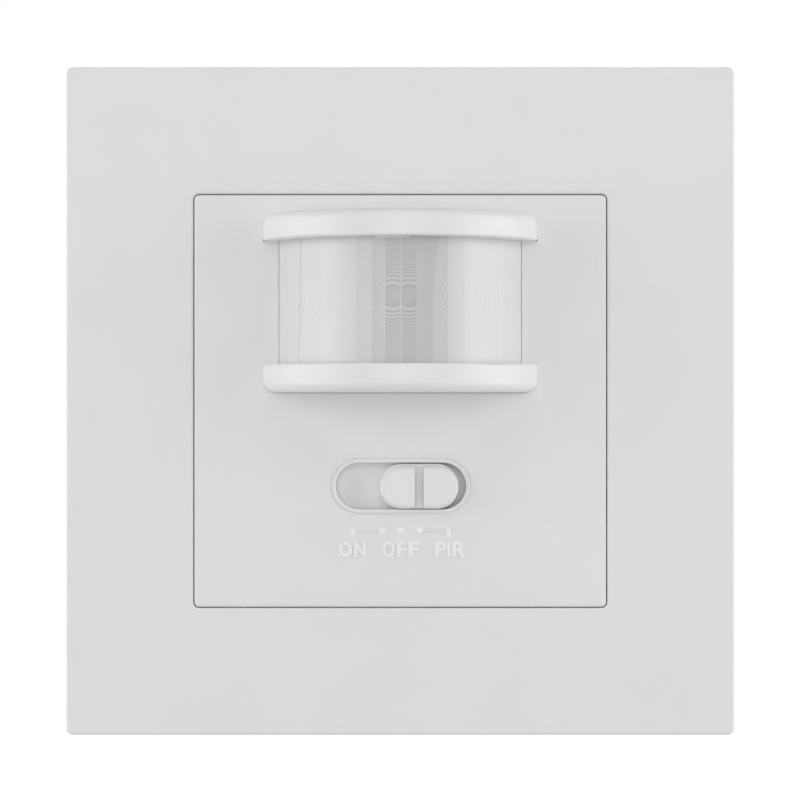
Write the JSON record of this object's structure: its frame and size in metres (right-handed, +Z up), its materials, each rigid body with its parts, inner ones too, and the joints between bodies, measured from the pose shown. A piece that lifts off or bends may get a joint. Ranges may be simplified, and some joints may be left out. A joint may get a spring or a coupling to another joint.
{
  "type": "pir motion sensor",
  "caption": "Flush-mounted wall switch with a motion sensor: square frame and plate, curved lens under two visors, slide knob, steel strap with claws, and a rear housing with terminals.",
  "frame": {"origin": "centre of the line between the two box screws, on the wall plane", "axes": "+Z up, the wall is the plane Y = 0, the front faces -Y and the box in the wall is at +Y"},
  "size_m": [0.081, 0.0513, 0.081],
  "materials": {
    "faceplate_white": "fine satin moulded surface",
    "head_white": "smooth moulded gloss",
    "knob_white": "smooth moulded gloss",
    "lens_milky": "translucent milky lens sheet with fine rings",
    "chassis_grey": "plain moulded plastic",
    "housing_white": "plain moulded plastic",
    "zinc_steel": "zinc-plated sheet steel",
    "screw_steel": "zinc-plated screws",
    "brass": "bright brass",
    "tinned_copper": "tin-plated contacts and leads",
    "board_green": "green solder mask",
    "chip_black": "moulded epoxy",
    "can_metal": "drawn metal can",
    "filter_dark": "dark infrared window",
    "clear_epoxy": "clear moulded epoxy",
    "relay_black": "sealed plastic case",
    "capacitor_yellow": "moulded box",
    "capacitor_sleeve": "shrunk sleeve",
    "varistor_blue": "dipped coating",
    "fuse_grey": "ceramic body",
    "trimmer_blue": "moulded plastic",
    "rotor_white": "moulded plastic",
    "switch_black": "moulded plastic",
    "terminal_green": "moulded plastic"
  },
  "bodies": {
    "base": {"outer_frame": "faceplate_white", "chassis": "chassis_grey", "housing_screws": "screw_steel", "mounting_strap": "zinc_steel", "claw_pins": "screw_steel", "rear_housing": "housing_white", "sensor_board": "board_green", "sensor_board_screws": "screw_steel", "pyro_seat": "switch_black", "pyro_can": "can_metal", "pyro_window": "filter_dark", "pyro_legs": "tinned_copper", "light_sensor": "clear_epoxy", "light_sensor_legs": "tinned_copper", "slide_switch_case": "can_metal", "slide_switch_base": "switch_black", "time_trimmer_base": "trimmer_blue", "lux_trimmer_base": "trimmer_blue", "controller_chip": "chip_black", "controller_leads": "tinned_copper", "chip_parts": "chip_black", "power_board": "board_green", "power_board_screws": "screw_steel", "relay": "relay_black", "film_capacitor": "capacitor_yellow", "smoothing_capacitor": "capacitor_sleeve", "varistor": "varistor_blue", "fuse": "fuse_grey", "rectifier_diodes": "chip_black", "board_link_pins": "tinned_copper", "board_link_headers": "switch_black", "terminal_block": "terminal_green", "terminal_bars": "tinned_copper"},
    "cover": {"cover_plate": "faceplate_white", "sensor_head": "head_white", "fresnel_lens": "lens_milky", "lens_retainer": "chassis_grey"},
    "knob": {"switch_knob": "knob_white"},
    "switch_lever": {"slide_switch_lever": "switch_black", "switch_contact": "brass"},
    "time_trimmer": {"time_trimmer_rotor": "rotor_white"},
    "lux_trimmer": {"lux_trimmer_rotor": "rotor_white"},
    "left_claw": {"claw_left": "zinc_steel"},
    "right_claw": {"claw_right": "zinc_steel"},
    "left_claw_screw": {"claw_screw_left": "screw_steel"},
    "right_claw_screw": {"claw_screw_right": "screw_steel"},
    "terminal_1_cage": {"terminal_cage_1": "brass"},
    "terminal_1_screw": {"terminal_screw_1": "screw_steel"},
    "terminal_2_cage": {"terminal_cage_2": "brass"},
    "terminal_2_screw": {"terminal_screw_2": "screw_steel"},
    "terminal_3_cage": {"terminal_cage_3": "brass"},
    "terminal_3_screw": {"terminal_screw_3": "screw_steel"}
  },
  "joints": [
    {"name": "cover_pull", "type": "slide", "parent": "base", "child": "cover", "axis": [0, -1, 0], "range_m": [0, 0.02]},
    {"name": "knob_slide", "type": "slide", "parent": "cover", "child": "knob", "axis": [1, 0, 0], "range_m": [-0.0046, 0]},
    {"name": "switch_lever_slide", "type": "slide", "parent": "base", "child": "switch_lever", "axis": [1, 0, 0], "range_m": [-0.0046, 0]},
    {"name": "time_trimmer_turn", "type": "hinge", "parent": "base", "child": "time_trimmer", "pos_m": [-0.0104, 0, -0.01035], "axis": [0, 1, 0], "range_deg": [-135, 135]},
    {"name": "lux_trimmer_turn", "type": "hinge", "parent": "base", "child": "lux_trimmer", "pos_m": [0.0104, 0, -0.01035], "axis": [0, 1, 0], "range_deg": [-135, 135]},
    {"name": "claw_left_swing", "type": "hinge", "parent": "base", "child": "left_claw", "pos_m": [-0.0186, 0.0022, 0], "axis": [0, 0, 1], "range_deg": [0, 14]},
    {"name": "claw_screw_left_turn", "type": "hinge", "parent": "base", "child": "left_claw_screw", "pos_m": [-0.0238, 0, 0], "axis": [0, 1, 0], "range_deg": [0, 720]},
    {"name": "claw_right_swing", "type": "hinge", "parent": "base", "child": "right_claw", "pos_m": [0.0186, 0.0022, 0], "axis": [0, 0, -1], "range_deg": [0, 14]},
    {"name": "claw_screw_right_turn", "type": "hinge", "parent": "base", "child": "right_claw_screw", "pos_m": [0.0238, 0, 0], "axis": [0, 1, 0], "range_deg": [0, 720]},
    {"name": "terminal_screw_1_turn", "type": "hinge", "parent": "base", "child": "terminal_1_screw", "pos_m": [-0.006, 0.026, -0.0162], "axis": [0, -1, 0], "range_deg": [0, 1152]},
    {"name": "terminal_cage_1_slide", "type": "slide", "parent": "base", "child": "terminal_1_cage", "axis": [0, 1, 0], "range_m": [0, 0.0016]},
    {"name": "terminal_screw_2_turn", "type": "hinge", "parent": "base", "child": "terminal_2_screw", "pos_m": [0, 0.026, -0.0162], "axis": [0, -1, 0], "range_deg": [0, 1152]},
    {"name": "terminal_cage_2_slide", "type": "slide", "parent": "base", "child": "terminal_2_cage", "axis": [0, 1, 0], "range_m": [0, 0.0016]},
    {"name": "terminal_screw_3_turn", "type": "hinge", "parent": "base", "child": "terminal_3_screw", "pos_m": [0.006, 0.026, -0.0162], "axis": [0, -1, 0], "range_deg": [0, 1152]},
    {"name": "terminal_cage_3_slide", "type": "slide", "parent": "base", "child": "terminal_3_cage", "axis": [0, 1, 0], "range_m": [0, 0.0016]}
  ],
  "couplings": [
    {"joint": "switch_lever_slide", "follows": "knob_slide", "ratio": 1},
    {"joint": "claw_screw_left_turn", "follows": "claw_left_swing", "ratio": 51.42},
    {"joint": "claw_screw_right_turn", "follows": "claw_right_swing", "ratio": 51.42},
    {"joint": "terminal_screw_1_turn", "follows": "terminal_cage_1_slide", "rad_per_m": 12566},
    {"joint": "terminal_screw_2_turn", "follows": "terminal_cage_2_slide", "rad_per_m": 12566},
    {"joint": "terminal_screw_3_turn", "follows": "terminal_cage_3_slide", "rad_per_m": 12566}
  ]
}
